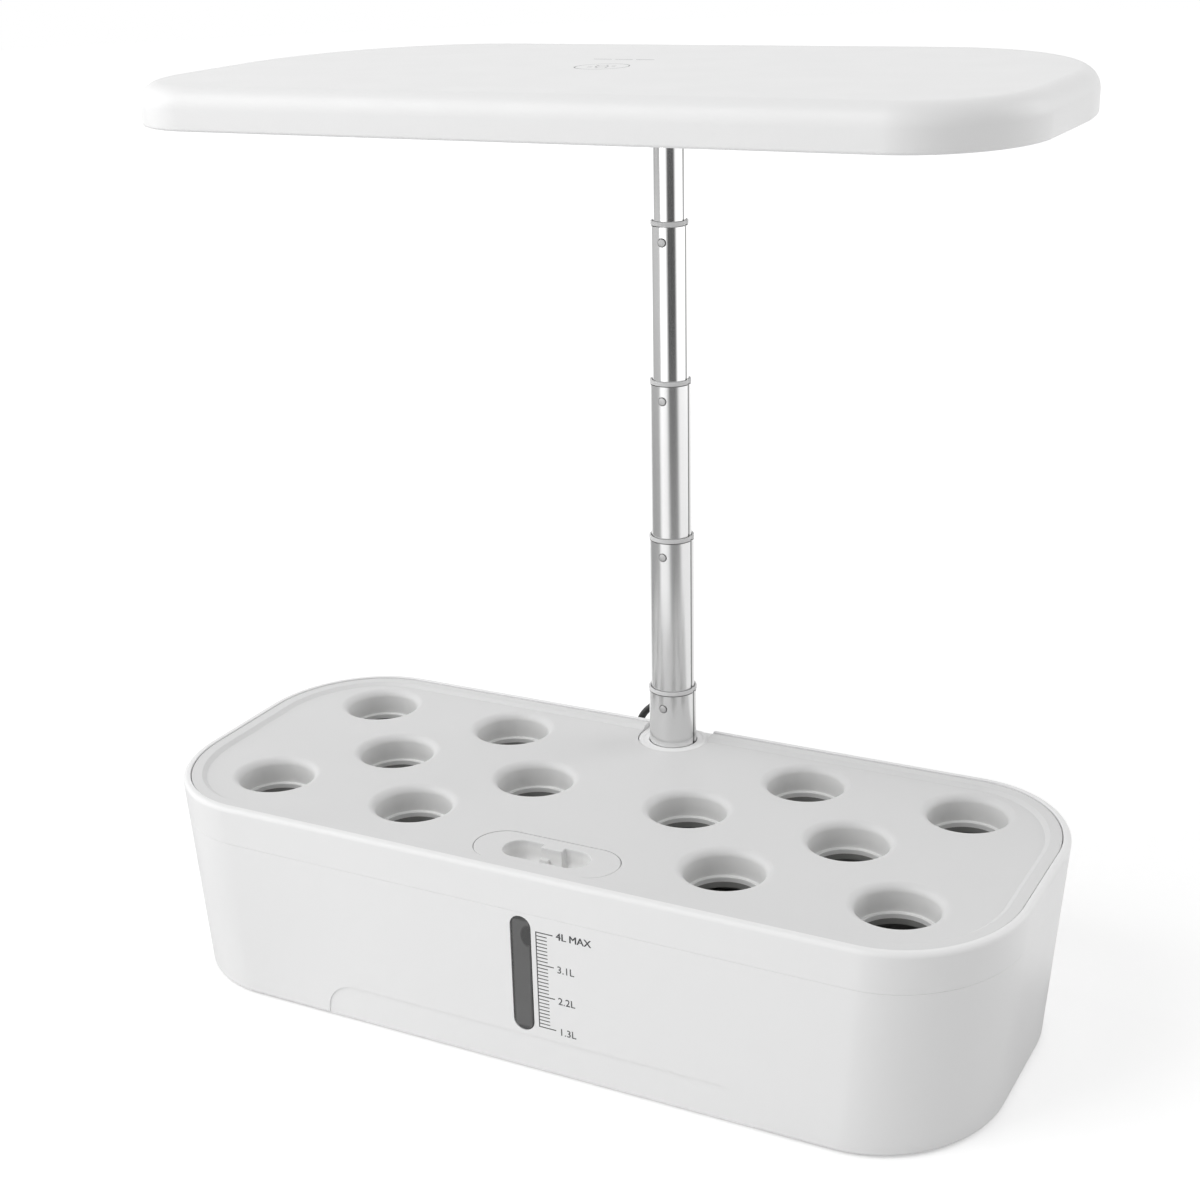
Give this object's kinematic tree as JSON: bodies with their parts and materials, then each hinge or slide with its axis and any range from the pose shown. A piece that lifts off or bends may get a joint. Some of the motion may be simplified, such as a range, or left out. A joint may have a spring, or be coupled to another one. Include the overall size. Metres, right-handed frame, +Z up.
{
  "type": "countertop hydroponic garden",
  "caption": "Countertop hydroponic garden: water tank, planting deck with pod wells, filler cap, submerged pump, telescopic pole with snap buttons and a slab grow lamp.",
  "frame": {"origin": "on the surface it stands on, under the middle of the object's box without its cord", "axes": "+X along the tank to its right end seen from the front, +Y towards the pole at the back, +Z up"},
  "size_m": [0.3976, 0.2465, 0.401],
  "materials": {
    "tank_white": "fine matte",
    "deck_white": "fine matte",
    "lamp_white": "fine matte",
    "window_clear": "clear, smoked by the tank behind it",
    "print_grey": "printed ink",
    "foot_rubber": "matte",
    "pole_chrome": "polished",
    "collar_grey": "satin",
    "spring_steel": "plain",
    "screw_steel": "plain",
    "cord_black": "satin jacket",
    "pump_black": "satin",
    "impeller_blue": "satin",
    "board_white": "white solder mask",
    "board_green": "solder mask",
    "prong_brass": "plain"
  },
  "bodies": {
    "base": {"tank_body": "tank_white", "upper_rim": "tank_white", "water_window": "window_clear", "pole_socket": "tank_white", "rubber_foot_1": "foot_rubber", "rubber_foot_2": "foot_rubber", "rubber_foot_3": "foot_rubber", "rubber_foot_4": "foot_rubber", "pump_body": "pump_black", "pump_cover": "pump_black", "pump_cup_1": "foot_rubber", "pump_cup_2": "foot_rubber", "pump_cup_3": "foot_rubber", "pump_cup_4": "foot_rubber", "pump_lead": "cord_black", "tube_base": "pole_chrome", "collar_base": "collar_grey", "cord_grommet": "cord_black", "lead_entry": "cord_black", "power_cord": "cord_black", "power_cord_tail": "cord_black", "cord_coil": "cord_black", "cord_tie": "cord_black", "adapter_body": "pump_black", "adapter_relief": "cord_black", "adapter_prong_1": "prong_brass", "adapter_prong_2": "prong_brass"},
    "impeller": {"pump_impeller": "impeller_blue"},
    "deck": {"grow_deck": "deck_white"},
    "cap": {"filler_cap": "deck_white"},
    "stage_lower": {"tube_lower": "pole_chrome", "collar_lower": "collar_grey", "snap_spring_lower": "spring_steel", "lead_lower": "cord_black"},
    "stage_middle": {"tube_middle": "pole_chrome", "collar_middle": "collar_grey", "snap_spring_middle": "spring_steel", "lead_middle": "cord_black"},
    "stage_upper": {"tube_upper": "pole_chrome", "collar_upper": "collar_grey", "snap_spring_upper": "spring_steel", "lead_upper": "cord_black"},
    "stage_top": {"tube_top": "pole_chrome", "snap_spring_top": "spring_steel", "lead_top": "cord_black", "lamp_shell": "lamp_white", "lamp_panel": "lamp_white", "led_board": "board_white", "driver_board": "board_green", "touch_board": "board_green", "lamp_pole_socket": "lamp_white", "lamp_screw_1": "screw_steel", "lamp_screw_2": "screw_steel", "lamp_screw_3": "screw_steel", "lamp_screw_4": "screw_steel"},
    "button_lower": {"snap_button_lower": "pole_chrome"},
    "button_middle": {"snap_button_middle": "pole_chrome"},
    "button_upper": {"snap_button_upper": "pole_chrome"},
    "button_top": {"snap_button_top": "pole_chrome"}
  },
  "joints": [
    {"name": "lower_slide", "type": "slide", "parent": "base", "child": "stage_lower", "axis": [0, 0, 1], "range_m": [-0.0715, 0], "deforming": ["snap_button_lower", "lead_entry"]},
    {"name": "middle_slide", "type": "slide", "parent": "stage_lower", "child": "stage_middle", "axis": [0, 0, 1], "range_m": [-0.061, 0], "deforming": ["snap_button_middle", "lead_lower"]},
    {"name": "upper_slide", "type": "slide", "parent": "stage_middle", "child": "stage_upper", "axis": [0, 0, 1], "range_m": [-0.059, 0], "deforming": ["snap_button_upper", "lead_middle"]},
    {"name": "top_slide", "type": "slide", "parent": "stage_upper", "child": "stage_top", "axis": [0, 0, 1], "range_m": [-0.05, 0], "deforming": ["snap_button_top", "lead_upper"]},
    {"name": "button_lower_press", "type": "slide", "parent": "stage_lower", "child": "button_lower", "axis": [0, -1, 0], "range_m": [-0.0014, 0], "stiffness_N_per_m": 500, "deforming": ["snap_spring_lower"]},
    {"name": "button_middle_press", "type": "slide", "parent": "stage_middle", "child": "button_middle", "axis": [0, -1, 0], "range_m": [-0.0014, 0], "stiffness_N_per_m": 500, "deforming": ["snap_spring_middle"]},
    {"name": "button_upper_press", "type": "slide", "parent": "stage_upper", "child": "button_upper", "axis": [0, -1, 0], "range_m": [-0.0014, 0], "stiffness_N_per_m": 500, "deforming": ["snap_spring_upper"]},
    {"name": "button_top_press", "type": "slide", "parent": "stage_top", "child": "button_top", "axis": [0, -1, 0], "range_m": [-0.0014, 0], "stiffness_N_per_m": 500, "deforming": ["snap_spring_top"]},
    {"name": "deck_lift", "type": "slide", "parent": "base", "child": "deck", "axis": [0, 0, 1], "range_m": [0, 0.12]},
    {"name": "cap_lift", "type": "slide", "parent": "deck", "child": "cap", "axis": [0, 0, 1], "range_m": [0, 0.06]},
    {"name": "impeller_spin", "type": "hinge", "parent": "base", "child": "impeller", "pos_m": [-0.064, 0.0179, 0.0242], "axis": [0, 1, 0], "continuous": true}
  ]
}
